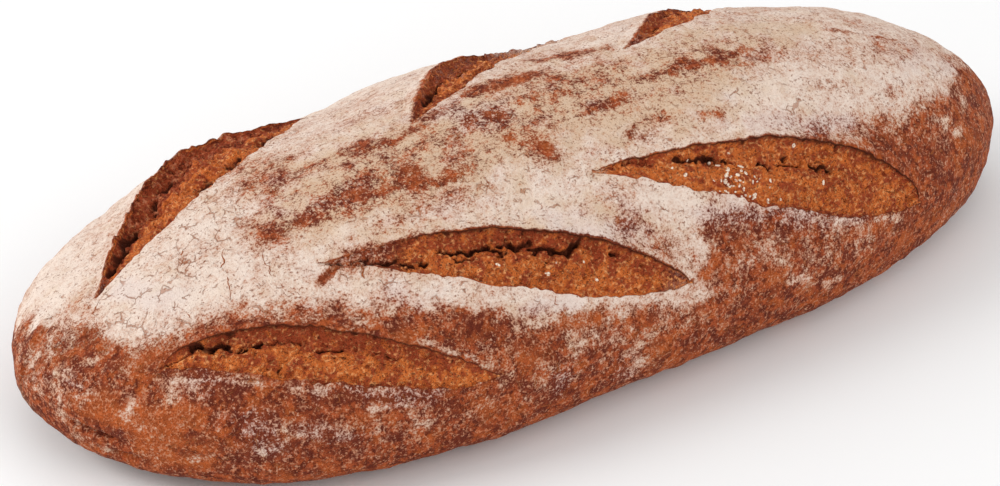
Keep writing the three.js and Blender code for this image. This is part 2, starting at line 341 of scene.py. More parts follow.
def swelling(x, phi):
    """How far the crust stands off the plain form, in mm."""
    s = x / HALF_LENGTH
    between = 0.5 - 0.5 * np.cos(2 * math.pi * (x - SWOLLEN_AT) / SLASH_PITCH)
    sag = (FAR_DROP + SAG * (1 - SAG_FADE * s) * between) * hump(phi, *FAR_SHOULDER)
    drawn_in = DRAWN_IN * hump(phi, *NEAR_FOOT) * hump(x, *NEAR_FOOT_ALONG)
    slow = np.cos(x / RIPPLE_ALONG[1] + phi / RIPPLE_ROUND[1])
    ripple = RIPPLE * np.sin(x / RIPPLE_ALONG[0] - phi / RIPPLE_ROUND[0] + RIPPLE_START) * slow
    away_from_sole = 1 - smoothstep(np.abs(phi), *EVEN_BY_SOLE)
    return (ripple - sag - drawn_in) * (1 - np.abs(s) ** 8).clip(0) * away_from_sole


def crust(x, phi, height):
    """Points of the crust at x and phi, lifted by height."""
    bare = skin(x, phi)
    lift = height + swelling(x, phi) + layered(bare, LUMPS) - strokes(HOLLOWS, x, phi)
    return bare + outward(x, phi) * lift[:, None]


# ---- Slashes ----
def bow(edge, s):
    """How far an edge of a slash stands from its chord at share s of the length, in mm."""
    reach, widest_at, roundness = edge
    skewed = np.clip(s, 0, 1) ** (math.log(0.5) / math.log(widest_at))
    return reach * np.sin(math.pi * skewed).clip(0) ** roundness


def chord(slash):
    """The slash's heading over the crust in radians, mm for each degree round it, and its length in mm."""
    (x0, phi0), (x1, phi1) = slash["start"], slash["end"]
    middle = np.array([(x0 + x1) / 2]), np.array([(phi0 + phi1) / 2])
    per_degree = float(np.linalg.norm(skin(middle[0], middle[1] + 1) - skin(*middle)))
    rise = (phi1 - phi0) * per_degree
    return math.atan2(rise, x1 - x0), per_degree, math.hypot(rise, x1 - x0)


def beside_slash(slash, s, offset):
    """x and phi at share s of a slash, offset mm from its chord towards the far side."""
    (x0, phi0), (x1, phi1) = slash["start"], slash["end"]
    heading, per_degree, _ = chord(slash)
    x = x0 + s * (x1 - x0) - offset * math.sin(heading)
    phi = phi0 + s * (phi1 - phi0) + offset * math.cos(heading) / per_degree
    return x, phi


def along_slash(slash, x, phi):
    """The inverse of beside_slash: share s and offset for x and phi."""
    (x0, phi0), (x1, phi1) = slash["start"], slash["end"]
    heading, per_degree, _ = chord(slash)
    a, b = x1 - x0, -math.sin(heading)
    c, d = phi1 - phi0, math.cos(heading) / per_degree
    dx, dphi = x - x0, phi - phi0
    det = a * d - b * c
    return (d * dx - b * dphi) / det, (a * dphi - c * dx) / det


def edges(slash, s):
    """The offsets of a slash's near and far edge at share s, and how open it is there, from 0 to 1."""
    far = bow(slash["far"], s)
    near = bow(slash["near"], s)
    openness = (far + near) / (slash["far"][0] + slash["near"][0])
    return -near - SLASH_TIP / 2, far + SLASH_TIP / 2, openness


# ---- Flour and colour, laid on as listed strokes ----
# The lists hold soft strokes, as (x0, phi0, x1, phi1, half width in degrees, strength), but for the first
# and the last. The first is the lower limit of the dusted top, as (x, phi). Below it the crust is bare but
# for the dusted strokes.
DUSTED_DOWN_TO = [
    (-200, 62), (-194, 24), (-188, 6), (-182, -8), (-175, -21), (-168, -32), (-160, -36), (-148, -34),
    (-134, -34.5), (-120, -39.5), (-104, -43), (-85, -48), (-66, -54), (-53, -59), (-35, -65), (-15, -70),
    (4, -75), (16, -78), (24, -76), (30, -69), (31, -58), (36, -53), (60, -60), (76, -65), (92, -69),
    (106, -66), (116, -48), (125, -45.5), (158, -45), (166, -38), (174, -28), (184, -18), (192, -5),
    (200, 60),
]
DUSTING_SOFTNESS = 8  # degrees to both sides of that limit
DUSTED_UP_TO = (60, 110)  # phi over which the flour fades on the far side
BARE_ENDS = 14  # mm from each end
WANDER_ALONG = ((3, 9, 31), (1.5, 4, 33))  # how far the strokes' edges wander in mm, as layers of noise
WANDER_ROUND = ((2, 8, 32), (1, 3.5, 34))  # the same in degrees
# Where the dusted top is barer, and where the bare sides are dusted.
BARE_STROKES = [
    (-112, -12, -60, -15, 8, 0.62), (-104, -4, -50, -8, 9, 0.46), (-50, -10, 24, -8, 12, 0.43),
    (20, -14, 90, -10, 9, 0.26), (-72, -17, -49, -18.5, 2.7, 0.97), (-49, -18, -36, -19, 2.8, 0.75),
    (-85, -14, -69, -17, 3, 0.88), (-108, -15, -92, -17.5, 3.2, 0.88), (-116, -15, -109, -16, 2, 0.9),
    (-94, -29.5, -76, -32.5, 3.2, 0.8), (-73, 0.5, -53, -1.6, 2.8, 0.95), (-53, -1, -36, 0, 2.2, 0.8),
    (-88, 0.3, -80, 0, 2.2, 0.75), (-108, 7, -90, 9, 4, 0.5), (-104, 16, -96, 4, 4.2, 0.45),
    (-20, 1.5, 3, 3, 3.3, 1), (-32, -2, -16, -7, 5, 0.65), (-22, -7, -13, -16, 3.6, 0.85),
    (-23, -14, -12, -23, 2.6, 0.8), (10, 11, 35, 7, 3, 0.8), (8, 1, 21, -8, 2.8, 0.65),
    (11, -15.5, 26, -13.5, 2.6, 0.82), (-3, -17, 8, -15.5, 2.6, 0.6), (22, -25.5, 37, -24.5, 2.8, 0.7),
    (50, -27, 55, -28, 2, 0.55), (33, -11, 48, -12, 2.3, 0.95), (48, -12, 55, -11.5, 1.4, 0.7),
    (55, -11.5, 76, -11, 2.4, 0.95), (78, -9, 92, -8, 1.4, 0.5), (116, -5.5, 132, -8, 1.3, 0.5),
    (132, -8, 151, -12.5, 1, 0.4), (-72, -20, -44, -24, 5, 0.4), (18, -62, 32, -76, 5, 0.3),
    (-190, 10, -182, 40, 8, 0.12), (-86, -30, -70, -33, 3, 0.6), (5, -47, 14, -58, 5.5, 0.62),
    (84, -43, 128, -58, 5.5, 0.5), (135, -35, 139, -35, 3, 0.3), (-176, -8, -182, 8, 4, 0.25),
    (148, -14, 184, -14, 10, 0.22), (-72, -24, -40, -28, 6, 0.28),
]
DUSTED_STROKES = [
    (-122, -60, -88, -76, 3, 0.36), (-104, -75, -90, -79, 2.2, 0.62), (-84, -60, -66, -70, 1.8, 0.6),
    (-160, -50, -100, -72, 2.2, 0.42), (-60, -78, -50, -74, 3, 0.3), (-14, -74, -8, -84, 3, 0.6),
    (-3, -88, -1, -116, 3, 0.58), (68, -86, 84, -104, 4.5, 0.5), (110, -80, 118, -92, 3, 0.3),
    (37, -96, 38, -102, 2, 0.42), (-176, -48, -180, -84, 2, 0.52), (-188, -33, -188, -58, 1.9, 0.62),
    (-190, -14, -190, -5, 2.2, 0.6), (-162, -60, -158, -60, 3, 0.42), (-180, -30, -184, -44, 2.5, 0.4),
    (-198, -20, -196, -70, 7, 0.42), (-197, -84, -190, -120, 5, 0.34), (-197, 2, -184, -8, 9, 0.5),
    (-172, -30, -180, -60, 3, 0.35), (-193, 30, -190, 50, 8, 0.4), (-146, -88, -143, -98, 1.6, 0.4),
    (-157, -98, -160, -108, 1.8, 0.45), (32, -53, 100, -72, 3, 0.5), (60, -60, 118, -82, 4, 0.4),
    (160, -40, 172, -48, 4, 0.34), (158, -60, 168, -62, 2, 0.36), (-25, -72, 0, -86, 6, 0.38),
    (4, -84, 30, -96, 6, 0.32), (18, -62, 26, -76, 4, 0.7), (-150, -84, -60, -92, 12, 0.26),
    (-60, -80, 30, -92, 12, 0.24), (40, -70, 100, -82, 9, 0.3), (34, -62, 60, -76, 8, 0.3),
    (130, -50, 160, -56, 6, 0.3), (150, -30, 190, -60, 12, 0.06), (-170, -50, -150, -66, 8, 0.28),
]
# Where the coat is thicker than elsewhere on the dusted top. The long band at phi 55 along the far
# shoulder is partly painted light: thicker, whiter flour where the far side is lit from behind.
THICK_STROKES = [
    (70, -24, 110, -30, 7, 0.14), (-46, -36, -4, -42, 9, 0.1), (-6, -44, 20, -56, 7, 0.12),
    (-92, -40, -30, -62, 3.4, 0.12), (-164, -4, -152, -20, 6, 0.35), (-160, -16, -110, -30, 10, 0.12),
    (-150, 2, -120, -8, 10, 0.18), (-20, -60, 0, -66, 3, 0.12), (-118, 55, 100, 55, 16, 0.4),
    (-188, 20, -172, 60, 14, 0.3), (-66, -25, -54, -28, 3, 0.15), (-96, -3, -84, -6, 2.4, 0.4),
    (-90, -22, -72, -24, 3, 0.3),
]
# The tone: 1 where the crust baked to orange, -1 where it baked to a dark purple brown or the flour is cool.
TONE_STROKES = [
    (-176, -70, -168, -108, 9, 1), (-136, -80, -134, -84, 4, 0.6), (-112, -74, -108, -80, 4, 0.7),
    (-66, -88, -62, -96, 4, 0.7), (-30, -67, -12, -72, 4, 0.7), (8, -90, 12, -104, 4, 0.5),
    (-16, 1, 3, 3, 4, 0.5), (-32, -2, -16, -7, 5, -0.9), (172, -36, 178, -40, 5, 0.5),
    (-108, -50, -70, -60, 4, 0.3), (-188, -76, -182, -66, 5, 0.7), (-197, 4, -183, 11, 4, 0.9),
    (-52, -70, -44, -76, 4, 0.6), (-144, -72, -140, -96, 7, -1), (-34, -88, -33, -106, 4, -1),
    (-156, -52, -150, -58, 6, -0.7), (-128, -80, -116, -90, 6, -0.8), (-184, -96, -180, -84, 4, -0.6),
    (-194, -30, -190, -46, 4, -0.5), (-120, -66, -112, -72, 4, -0.6), (-8, -96, -6, -112, 3, -0.5),
    (20, -100, 30, -112, 6, -0.4), (-52, -18, -34, -19, 3, 0.6), (-20, -16, -10, -22, 4, 0.6),
    (-104, -10, -80, -14, 5, -0.5), (-164, -6, -154, -18, 5, -0.9), (66, -36, 106, -42, 4, -0.9),
    (-24, -44, 10, -52, 6, -0.7), (-46, -60, -24, -65, 3, -0.8), (-84, -44, -76, -47, 4, -0.6),
    (150, -24, 166, -28, 8, -0.5), (36, -54, 100, -72, 5, -0.8), (-110, -70, -84, -78, 4, -0.8),
]
# Painted shade darkening three hollows of the crust, two dents low on the near side and the groove of the
# split; and where it split and lost its flour.
HOLLOW_SHADE_STROKES = [
    (-189.5, -101, -186.5, -103.5, 2.6, 0.3), (-183, -121, -180, -117, 2.4, 0.3),
    (-104.8, -33.1, -98, -30.4, 0.7, 0.5),
]
SPLITS = [(-106.4, -33.6, -97, -30.2, 1.3, 1)]
# Where the flour is yellowish, and where the crust is crazed by more and deeper lines than elsewhere.
YELLOWED_STROKES = [
    (-90, -8, 60, -14, 17, 0.9), (60, 0, 110, -4, 9, 0.6), (-90, -24, -70, -32, 8, 0.4),
    (-60, -30, 0, -46, 10, 0.35),
]
CRAZED_STROKES = [
    (-150, -14, -128, -2, 12, 1), (-36, -22, -16, -32, 7, 0.8), (20, -38, 40, -44, 4, 0.7),
    (-100, -34, -60, -50, 3, 0.7), (-120, 4, -118, 8, 5, 0.6), (-190, -8, -160, -28, 8, 1),
]
# Fine cracks of the crust, as (x0, phi0, x1, phi1, width in mm).
CRACKS = [
    (-92.2, -32.8, -92, -38, 0.8), (-22.5, -34.8, -27.1, -40.5, 0.8), (-31, -60.2, -30.3, -63, 0.9),
    (-26.4, -30.5, -29.2, -33.8, 0.6), (-52, -33.5, -54.5, -36.5, 0.6), (-138, -4.2, -144, -10.3, 0.7),
    (-127.8, -11.5, -132.6, -18, 0.8), (-132.6, -18, -135, -29, 0.6), (-118.7, -18.7, -119.4, -27, 0.7),
    (-151.7, -22.8, -148.7, -29.6, 0.6), (-133.8, -43.2, -140.2, -46.1, 0.7), (124, -5, 137, -9.1, 0.5),
    (137, -9.1, 150.5, -13.5, 0.5), (-171, -3, -175, -9, 1), (-171, -3, -166, -6, 0.7),
]
DEGREE = 1.25  # mm for each degree round the crust, near enough for strokes and cracks
SOLE_FROM = (128, 150)  # degrees round the section over which the crust turns into the sole


def from_segment(x, y, run_x, run_y):
    """How far x, y lies from the straight run from 0, 0 to run_x, run_y."""
    share = np.clip((x * run_x + y * run_y) / (run_x**2 + run_y**2), 0, 1)
    return np.hypot(x - share * run_x, y - share * run_y)


def strokes(rows, x, phi):
    """The strongest of a list of soft strokes at x and phi."""
    strongest = np.zeros_like(x)
    for x0, phi0, x1, phi1, half_width, strength in rows:
        distance = from_segment(x - x0, (phi - phi0) * DEGREE, x1 - x0, (phi1 - phi0) * DEGREE)
        laid = strength * hump(distance, 0, half_width * DEGREE)
        strongest = np.where(np.abs(laid) > np.abs(strongest), laid, strongest)
    return strongest


def flour(x, phi):
    """How much flour lies on the crust, from 0, none, to 1, a full coat."""
    place = plane(x, phi * DEGREE)
    split = strokes(SPLITS, x, phi)
    x = x + layered(place, WANDER_ALONG)
    phi = phi + layered(place, WANDER_ROUND)
    limit_x, limit_phi = np.array(DUSTED_DOWN_TO).T
    coat = smoothstep(phi - np.interp(x, limit_x, limit_phi), -DUSTING_SOFTNESS, DUSTING_SOFTNESS)
    coat *= (1 - smoothstep(phi, *DUSTED_UP_TO)) * smoothstep(HALF_LENGTH - np.abs(x), 0, BARE_ENDS)
    coat *= (1 + strokes(THICK_STROKES, x, phi)) * (1 - strokes(BARE_STROKES, x, phi))
    return np.maximum(coat, strokes(DUSTED_STROKES, x, phi)) * (1 - split)


def finish_values(x, phi):
    """The numbers that the bread's material reads, for each place on the crust."""
    return {
        "flour": flour(x, phi),
        "tone": strokes(TONE_STROKES, x, phi),
        "yellowed": strokes(YELLOWED_STROKES, x, phi),
        "crazed": strokes(CRAZED_STROKES, x, phi),
        "sole": smoothstep(np.abs(phi), *SOLE_FROM),
        # Painted shade in the hollows of the crust.
        "baked": strokes(HOLLOW_SHADE_STROKES, x, phi),
    }


# ---- Making meshes ----
def finished(name, bm, points, attributes):
    """An object from a bmesh, its vertices moved to points (mm), with a number for each vertex."""
    mesh = bpy.data.meshes.new(name)
    bm.to_mesh(mesh)
    bm.free()
    mesh.vertices.foreach_set("co", (points * METRES).ravel())
    for key, values in attributes.items():
        mesh.attributes.new(key, "FLOAT", "POINT").data.foreach_set("value", values.astype(np.float32))
    mesh.shade_smooth()
    mesh.update()
    piece = bpy.data.objects.new(name, mesh)
    bpy.context.scene.collection.objects.link(piece)
    return piece


def vertex_places(bm):
    """The places of a bmesh's vertices, one row each."""
    return np.array([vertex.co[:] for vertex in bm.verts])


def bar(around, steps):
    """A closed bar along Z, 1 long, with that many faces round it and along it, and its vertices' places."""
    bm = bmesh.new()
    bmesh.ops.create_cone(bm, cap_ends=True, segments=around, radius1=1, radius2=1, depth=1)
    rails = [edge for edge in bm.edges if abs(edge.verts[0].co.z - edge.verts[1].co.z) > 0.5]
    bmesh.ops.subdivide_edges(bm, edges=rails, cuts=steps - 1)
    return bm, vertex_places(bm)


def trough(x, phi):
    """How far the crust piece is sunk where a slash piece lies over it, in mm."""
    depth = np.zeros_like(x)
    for slash in SLASHES:
        s, offset = along_slash(slash, x, phi)
        near, far, _ = edges(slash, s)
        from_ends = np.minimum(s, 1 - s) * chord(slash)[2] + SLASH_RUN_OUT - TROUGH_SHORT
        from_sides = np.minimum(offset - near + TROUGH_PAST[0], far + TROUGH_PAST[1] - offset)
        inside = np.minimum(from_sides, from_ends)
        sunk = sum(step * smoothstep(inside, start, end) for step, start, end in TROUGH_STEPS)
        depth = np.maximum(depth, sunk)
    return depth


def make_crust():
    """The baked skin of the whole loaf, sunk under the slashes. The ball's poles become its two ends."""
    bm = bmesh.new()
    bmesh.ops.create_uvsphere(bm, u_segments=CRUST_AROUND, v_segments=CRUST_ALONG, radius=1)
    bmesh.ops.rotate(bm, cent=(0, 0, 0), matrix=Matrix.Rotation(math.radians(90), 3, "Y"), verts=bm.verts)
    ball = vertex_places(bm)
    turn = np.arctan2(ball[:, 1], ball[:, 2])
    phi = np.degrees(turn - CREST_DENSITY * np.sin(turn))
    x = HALF_LENGTH * ball[:, 0].clip(-BALL_END, BALL_END)
    points = crust(x, phi, -trough(x, phi))
    points[:, 2] = points[:, 2].clip(0)
    return finished("crust", bm, points, finish_values(x, phi))


def section_columns():
    """The section's values for each column of a slash piece, its underside last, and how many are on top."""
    knots = np.array(SECTION, dtype=float)
    at = np.concatenate([[0], np.cumsum(knots[:-1, 0])])
    steps = np.arange(int(at[-1]) + 1)
    top = [np.interp(steps, at, values) for values in knots[:, 1:].T]
    underside = [(share, *knots[0, 2:]) for share in UNDERSIDE]
    return np.hstack([top, np.transpose(underside)]), len(steps)


def slash_grid(slash):
    """The bar of a slash, and where each of its vertices lies along the slash and in its section."""
    columns, top = section_columns()
    around = columns.shape[1]
    bm, place = bar(around, SLASH_STEPS)
    column = np.rint(np.arctan2(place[:, 1], place[:, 0]) / (2 * math.pi) * around).astype(int) % around
    share, past, depth, lip, crumb, baked = columns[:, column]
    length = chord(slash)[2]
    run_out = SLASH_RUN_OUT / length
    s = (0.5 - place[:, 2]) * (1 + 2 * run_out) - run_out
    near, far, openness = edges(slash, s)
    return bm, SimpleNamespace(
        s=s, along=s * length, near=near, far=far, openness=openness, share=share, past=past, depth=depth,
        lip=lip, crumb=crumb, baked=baked, under=column >= top, inner=crumb > TORN,
        torn=smoothstep(s - slash["untorn"], *TEAR_START),
        from_end=np.minimum(s, 1 - s) * length + SLASH_RUN_OUT,
    )


def slash_offset(slash, grid):
    """How far each vertex lies from the slash's chord, in mm, with ragged edges."""
    ragged = layered(plane(grid.along), EDGE_RAGGED, slash["seed"])
    ragged = np.where(grid.share > 0.5, ragged, NEAR_EDGE_RAGGED * ragged) * smoothstep(grid.openness, 0, 0.3)
    past = grid.past * (NARROW_END + (1 - NARROW_END) * np.sqrt(grid.openness))
    return grid.near + grid.share * (grid.far - grid.near) + past + ragged


def crevice_cut(slash, grid, offset):
    """How deep the crevices cut into a slash's crumb, in mm."""
    length = chord(slash)[2]
    place = plane(grid.along, offset)
    along = grid.along + layered(place, CREVICE_ALONG)
    across = offset + layered(place, CREVICE_ACROSS)
    deepest = np.zeros_like(offset)
    for s0, share0, s1, share1, half_width, depth in slash["crevices"]:
        near, far, _ = edges(slash, np.array([s0, s1]))
        start, end = near + np.array([share0, share1]) * (far - near)
        distance = from_segment(along - s0 * length, across - start, (s1 - s0) * length, end - start)
        deepest = np.maximum(deepest, depth * hump(distance, 0, half_width))
    broken, whole = CREVICE_DEPTHS
    unbroken = smoothstep(layered(place, CREVICE_BREAKS), *CREVICE_BREAK_EDGE)
    return deepest * (broken + (whole - broken) * unbroken) * grid.inner


def slash_level(slash, grid, bare, pores, cut):
    """How far each vertex stands over the crust, in mm: the crumb below it, the curled lip above."""
    seed, rough, openness = slash["seed"], slash["rough"], grid.openness
    level = grid.depth * slash["deep"] * (SHALLOW_END + (1 - SHALLOW_END) * openness**0.7)
    curl = 1 + rough * smoothstep(openness, 0, 0.4) * layered(plane(grid.along), LIP_CURL, seed)
    level += grid.lip * (bow(slash["lip"], grid.s) * curl - LIP_DIP * (1 - openness)) * grid.torn
    craggy = np.sqrt(openness) + (rough - 1) * smoothstep(openness, 0.2, 0.8)
    relief = craggy * layered(bare, CRAGS, seed) - PORE_DEPTH * np.sqrt(openness) * pores
    level += grid.inner * relief - cut
    from_rim = np.minimum(np.abs(grid.past - SECTION[0][2]), np.abs(SECTION[-1][2] - grid.past))
    level -= TUCK * (1 - smoothstep(np.minimum(from_rim, grid.from_end), 0, TUCK_WIDTH))
    shut, widest = UNDERSIDE_DEPTHS
    return np.where(grid.under, -shut - (widest - shut) * openness, level)


def slash_values(slash, grid, x, phi, pores, cut):
    """The numbers that the bread's material reads, for a slash: bare at its rim, torn inside, with painted
    shade in crevices and pores and a burnt lip line that is partly painted shadow.
    """
    values = finish_values(x, phi)
    past_far_edge = np.where(grid.share > 0.5, grid.past, slash["rim"] + 1)
    dusted = sum(amount * hump(grid.s, middle, width) for middle, width, amount in slash["dusted"])
    dusted *= grid.crumb
    values["flour"] *= (1 - grid.crumb) * smoothstep(past_far_edge, RIM_START, slash["rim"])
    values["flour"] += dusted
    values["crumb"] = grid.crumb * grid.torn * (1 - dusted)
    wall = slash["wall"] * smoothstep(grid.share, *WALL_FROM)
    values["tone"] = np.where(grid.inner, -wall, values["tone"])
    # Painted darkness: the knots' burnt lip line with painted shadow under the lip and painted shade past the
    # near edge, then painted shade in the crevices, darker where they cut deeper, and in the pores.
    baked = slash["char_and_shade"] * grid.baked * grid.torn + smoothstep(cut, *CREVICE_SHADE)
    values["baked"] = np.clip(baked + PORE_SHADE * grid.inner * pores, 0, 1)
    return values


def make_slash(slash):
    """One opened slash, a closed bar that follows it: torn lip and crumb with crevices above, plain below."""
    bm, grid = slash_grid(slash)
    offset = slash_offset(slash, grid)
    x, phi = beside_slash(slash, grid.s, offset)
    bare = skin(x, phi)
    pores = smoothstep(layered(bare, PORES, slash["seed"]), *PORE_EDGE)
    cut = crevice_cut(slash, grid, offset)
    points = crust(x, phi, slash_level(slash, grid, bare, pores, cut))
    return finished(slash["name"], bm, points, slash_values(slash, grid, x, phi, pores, cut))


def make_cracks():
    """Fine cracks of the crust: thin jagged closed bars, their backs just above it."""
    whole = bmesh.new()
    all_points = []
    for number, (x0, phi0, x1, phi1, width) in enumerate(CRACKS):
        bm, place = bar(CRACK_SIDES, CRACK_STEPS)
        share = place[:, 2] + 0.5
        run_x, run_y = x1 - x0, (phi1 - phi0) * DEGREE
        length = math.hypot(run_x, run_y)
        line = plane(share * length)
        half_width = width / 2 * (0.5 + layered(line, CRACK_THICKNESS, number))
        taper = np.sqrt(np.sin(math.pi * share).clip(0.01))
        across = layered(line, CRACK_JAGS, number) + place[:, 0] * half_width * taper
        x = x0 + share * run_x - across * run_y / length
        phi = phi0 + share * (phi1 - phi0) + across * run_x / length / DEGREE
        height = place[:, 1] * CRACK_DEPTH - CRACK_SUNK + layered(line, CRACK_DIPS, number)
        all_points.append(crust(x, phi, height))
        part = bpy.data.meshes.new("part")
        bm.to_mesh(part)
        bm.free()
        whole.from_mesh(part)
        bpy.data.meshes.remove(part)
    return finished("fine_cracks", whole, np.concatenate(all_points), {})


def crumb_surface(piece):
    """A piece's faces, to find where something lies on them."""
    bm = bmesh.new()
    bm.from_mesh(piece.data)
    surface = BVHTree.FromBMesh(bm)
    bm.free()
    return surface


def make_flakes(slashes):
    """Flakes of flour that fell into the slashes, lying on their crumb."""
    draw = np.random.default_rng(FLAKE_SEED)
    whole = bmesh.new()
    for number, count, (middle, spread), (share, share_spread) in FLAKES:
        slash = SLASHES[number]
        crumb = crumb_surface(slashes[number])
        for _ in range(count):
            s = np.array([draw.normal(middle, spread)])
            near, far, _ = edges(slash, s)
            at = np.clip(draw.normal(share, share_spread), *FLAKE_OPENING)
            x, phi = beside_slash(slash, s, near + at * (far - near))
            above, down = crust(x, phi, FLAKE_DROP)[0], -outward(x, phi)[0]
            place, normal, _, _ = crumb.ray_cast(Vector(above * METRES), Vector(down))
            size = min(draw.lognormal(*FLAKE_SIZE), FLAKE_LARGEST)
            turn = normal.to_track_quat("Z", "Y").to_matrix().to_4x4()
            turn = turn @ Matrix.Rotation(draw.uniform(0, math.pi), 4, "Z")
            form = Matrix.Diagonal((size, size * draw.uniform(*FLAKE_WIDTHS), size * FLAKE_THICKNESS, 1))
            put = Matrix.Translation(place / METRES) @ turn @ form
            bmesh.ops.create_icosphere(whole, subdivisions=2, radius=0.5, matrix=put)
    points = vertex_places(whole)
    points += np.stack([layered(points, [layer]) for layer in FLAKE_LUMPS], axis=-1)
    return finished("flour_flakes", whole, points, {})


# ---- Materials ----
class Wire:
    """A socket of a material's node, so that its maths can be written as an expression."""

    def __init__(self, tree, socket):
        self.tree = tree
        self.socket = socket

    def math(self, operation, first, second):
        return node(self.tree, "ShaderNodeMath", dict(operation=operation), [first, second])

    def __add__(self, other):
        return self.math("ADD", self, other)

    def __sub__(self, other):
        return self.math("SUBTRACT", self, other)

    def __rsub__(self, other):
        return self.math("SUBTRACT", other, self)

    def __mul__(self, other):
        return self.math("MULTIPLY", self, other)

    def step(self, low, high):
        """0 below low, 1 above high, smooth between."""
        settings = dict(interpolation_type="SMOOTHSTEP")
        return node(self.tree, "ShaderNodeMapRange", settings, [self, low, high, 0.0, 1.0])


def node(tree, kind, settings, values, output=0):
    """A new node with its settings and its sockets filled, in order or by name. Returns an output's Wire."""
    made = tree.nodes.new(kind)
    for key, value in settings.items():
        setattr(made, key, value)
    pairs = values.items() if isinstance(values, dict) else enumerate(values)
    for key, value in pairs:
        if isinstance(value, Wire):
            tree.links.new(value.socket, made.inputs[key])
        else:
            made.inputs[key].default_value = value
    return Wire(tree, made.outputs[output]) if made.outputs else None


def srgb(red, green, blue):
    """A colour seen in a photo, 0 to 255, as the linear one that Blender works in."""
    linear = [((value / 255 + 0.055) / 1.055) ** 2.4 for value in (red, green, blue)]
    return (*linear, 1)


class Paint:
    """The nodes that the loaf's finishes are mixed from. Sizes are in mm."""

    def __init__(self, name):
        self.material = bpy.data.materials.new(name)
        self.material.use_nodes = True
        self.tree = self.material.node_tree
        self.tree.nodes.clear()
        place = self.make("ShaderNodeTexCoord", {}, [], "Object")
        scale = {0: place, "Scale": 1 / METRES}
        self.place = self.make("ShaderNodeVectorMath", dict(operation="SCALE"), scale)

    def make(self, kind, settings, values, output=0):
        """A node of this material, as node makes it."""
        return node(self.tree, kind, settings, values, output)

    def grain(self, size, detail=2, roughness=0.5, stretch=(1, 1, 1)):
        """Noise from 0 to 1 with grains of that size, longer along the axes with more stretch."""
        scaled = self.place
        if stretch != (1, 1, 1):
            inverse = tuple(1 / value for value in stretch)
            scaled = self.make("ShaderNodeVectorMath", dict(operation="MULTIPLY"), [self.place, inverse])
        values = {"Vector": scaled, "Scale": 1 / size, "Detail": detail, "Roughness": roughness}
        return self.make("ShaderNodeTexNoise", {}, values)

    def crack_lines(self, size, width):
        """1 on wandering lines that part cells of the given size, 0 beside them."""
        values = {"Vector": self.place, "Scale": 1 / (0.6 * size), "Detail": 3}
        wander = self.make("ShaderNodeTexNoise", {}, values, "Color")
        wander = self.make("ShaderNodeVectorMath", dict(operation="SCALE"), {0: wander, "Scale": 0.6 * size})
        bent = self.make("ShaderNodeVectorMath", dict(operation="ADD"), [self.place, wander])
        settings = dict(feature="DISTANCE_TO_EDGE")
        cells = self.make("ShaderNodeTexVoronoi", settings, {"Vector": bent, "Scale": 1 / size}, "Distance")
        return 1 - cells.step(0.3 * width / size, width / size)

    def attribute(self, name):
        """A number that the piece's vertices carry, or 0 where they have none of that name."""
        return self.make("ShaderNodeAttribute", dict(attribute_name=name), [], "Fac")

    def mix(self, share, first, second):
        """The first colour where share is 0, the second where it is 1."""
        return self.make("ShaderNodeMix", dict(data_type="RGBA"), {0: share, 6: first, 7: second}, 2)

    def cover(self, colour, layers):
        """A colour under layers of (where from 0 to 1, how strongly, colour)."""
        for where, strength, above in layers:
            colour = self.mix(where * strength, colour, above)
        return colour

    def finish(self, colour, roughness, height):
        """The material, from its colour, its roughness and its fine relief in mm."""
        normal = self.make("ShaderNodeBump", {}, {"Strength": 1.0, "Distance": METRES, "Height": height})
        values = {"Base Color": colour, "Roughness": roughness, "Normal": normal, "Specular IOR Level": SHEEN}
        shader = self.make("ShaderNodeBsdfPrincipled", {}, values)
        self.make("ShaderNodeOutputMaterial", {}, {"Surface": shader})
        return self.material


# ---- Colours and finishes ----
BROWN_PIT = srgb(96, 34, 14)
BROWN_ORANGE = srgb(170, 80, 42)
BROWN_WARM = srgb(188, 94, 42)
BROWN_PURPLE = srgb(102, 39, 24)
BROWN_GLINT = srgb(208, 142, 106)
FLOUR_THIN = srgb(188, 134, 104)
FLOUR_THICK = srgb(238, 218, 203)
FLOUR_WARM = srgb(212, 180, 148)
FLOUR_COOL = srgb(226, 208, 202)
BRAN = srgb(136, 78, 48)
CRACK = srgb(164, 92, 50)
CRUMB = srgb(206, 108, 48)
CRUMB_RED = srgb(156, 66, 34)
CRUMB_LIGHT = srgb(236, 164, 104)
CRUMB_DARK = srgb(112, 48, 20)
# Burnt crust and painted shade: the lip's dark line and the shadow under it, crevices, pores, hollows and
# specks for tiny pits in the crumb.
BURNT_AND_SHADE_DARK = srgb(72, 26, 9)
SOLE_BROWN = srgb(104, 62, 42)
FLAKE = srgb(246, 232, 212)
SHEEN = 0.15
CRUST_ROUGHNESS = 0.8
DRY_ROUGHNESS = 0.9


def brown_crust(paint, grit, dusting):
    """The bare baked crust, freckled, from a dark purple brown to orange."""
    freckles = paint.grain(2.8, 4, 0.7)
    patch = paint.grain(6, 3, 0.6)
    tone = paint.attribute("tone") + (paint.grain(14, 2, 0.5) - 0.5) * 3
    return paint.cover(BROWN_PIT, [
        (freckles.step(0.4, 0.6), 1, BROWN_ORANGE),
        (patch.step(0.5, 0.62), 0.75, BROWN_PURPLE),
        ((1 - patch).step(0.52, 0.64), 0.6, BROWN_WARM),
        (tone.step(0, 1), 0.6, BROWN_WARM),
        ((0 - tone).step(0, 1), 0.7, BROWN_PURPLE),
        (grit.step(0.52, 0.7), 0.6, BROWN_GLINT),
        ((1 - dusting).step(0.54, 0.68), 0.4, BROWN_PIT),
        (paint.attribute("sole"), 0.8, SOLE_BROWN),
    ])


